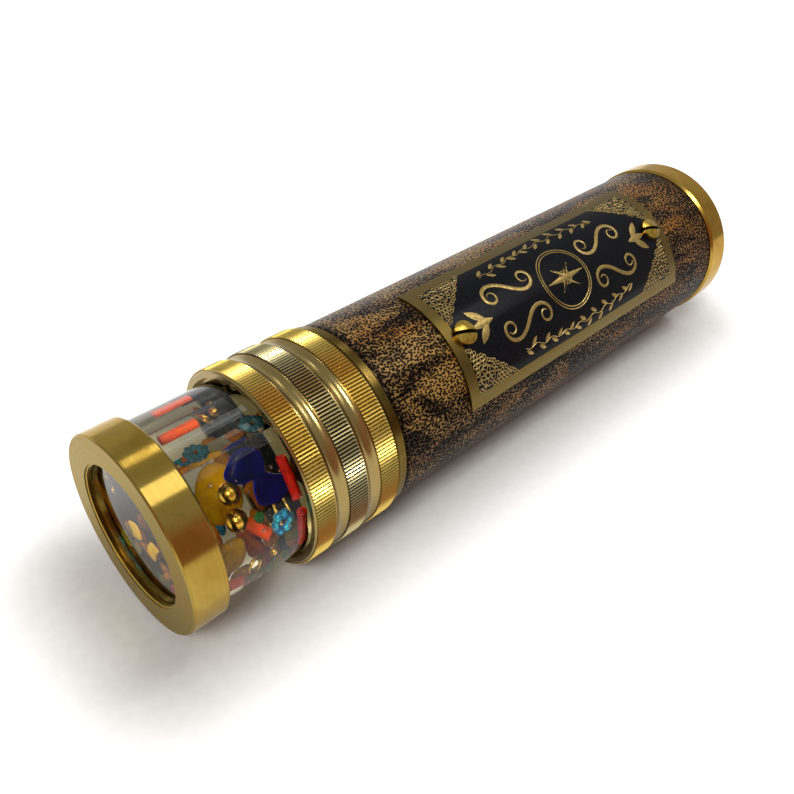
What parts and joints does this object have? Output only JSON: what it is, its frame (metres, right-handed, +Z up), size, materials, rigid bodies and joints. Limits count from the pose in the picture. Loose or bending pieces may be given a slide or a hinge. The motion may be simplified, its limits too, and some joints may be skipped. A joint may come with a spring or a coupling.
{
  "type": "liquid kaleidoscope",
  "caption": "Brass and leather tube kaleidoscope with a clear oil-filled bead cell that turns on a knurled collar, curved plate and plain eyepiece.",
  "frame": {"origin": "on the table under the middle of the tube, which lies on its side", "axes": "+X along the tube from the bead cell to the eyepiece, +Z up, +Y away from the viewer"},
  "size_m": [0.1606, 0.0398, 0.0398],
  "materials": {
    "polished_brass": "polished",
    "satin_brass": "satin turned",
    "knurled_brass": "knurled",
    "tube_brass": "drawn",
    "brown_leather": "antiqued, pebbled grain",
    "black_inlay": "gloss",
    "screw_brass": "polished",
    "clear_glass": "clear",
    "clear_barrel": "clear",
    "silvered_glass": "front-silvered",
    "dark_board": "matt",
    "gasket_rubber": "matt",
    "clear_oil": "clear liquid",
    "gold_coated_glass": "gold coated",
    "gold_wire": "gold coated",
    "orange_glass": "opaque gloss",
    "red_glass": "gloss",
    "turquoise_glass": "pearly",
    "green_glass": "gloss",
    "amber_glass": "clear amber",
    "cobalt_glass": "clear cobalt"
  },
  "bodies": {
    "tube": {"body_tube": "tube_brass", "leather_wrap": "brown_leather", "tube_flange": "polished_brass", "keeper_ring": "tube_brass", "nameplate": "satin_brass", "nameplate_inlay": "black_inlay", "plate_screws": "screw_brass", "front_window": "clear_glass", "spring_ring": "tube_brass", "mirror_holder_front": "dark_board", "mirror_holder_rear": "dark_board", "mirror_a": "silvered_glass", "mirror_b": "silvered_glass", "mirror_c": "silvered_glass", "eye_window": "clear_glass", "eyepiece_cap": "polished_brass"},
    "cell": {"front_cap": "satin_brass", "front_gasket": "gasket_rubber", "front_disc": "clear_glass", "cell_barrel": "clear_barrel", "rear_disc": "clear_glass", "rear_gasket": "gasket_rubber", "knurled_collar": "knurled_brass"},
    "contents": {"oil": "clear_oil", "gold_beads": "gold_coated_glass", "gold_rings": "gold_wire", "orange_tubes": "orange_glass", "red_tubes": "red_glass", "flower_beads": "turquoise_glass", "seed_beads": "green_glass", "yellow_glass": "amber_glass", "blue_glass": "cobalt_glass"}
  },
  "joints": [
    {"name": "cell_spin", "type": "hinge", "parent": "tube", "child": "cell", "pos_m": [0, 0, 0.0199], "axis": [1, 0, 0], "continuous": true},
    {"name": "contents_swing", "type": "hinge", "parent": "tube", "child": "contents", "pos_m": [0, 0, 0.0199], "axis": [1, 0, 0], "continuous": true}
  ]
}
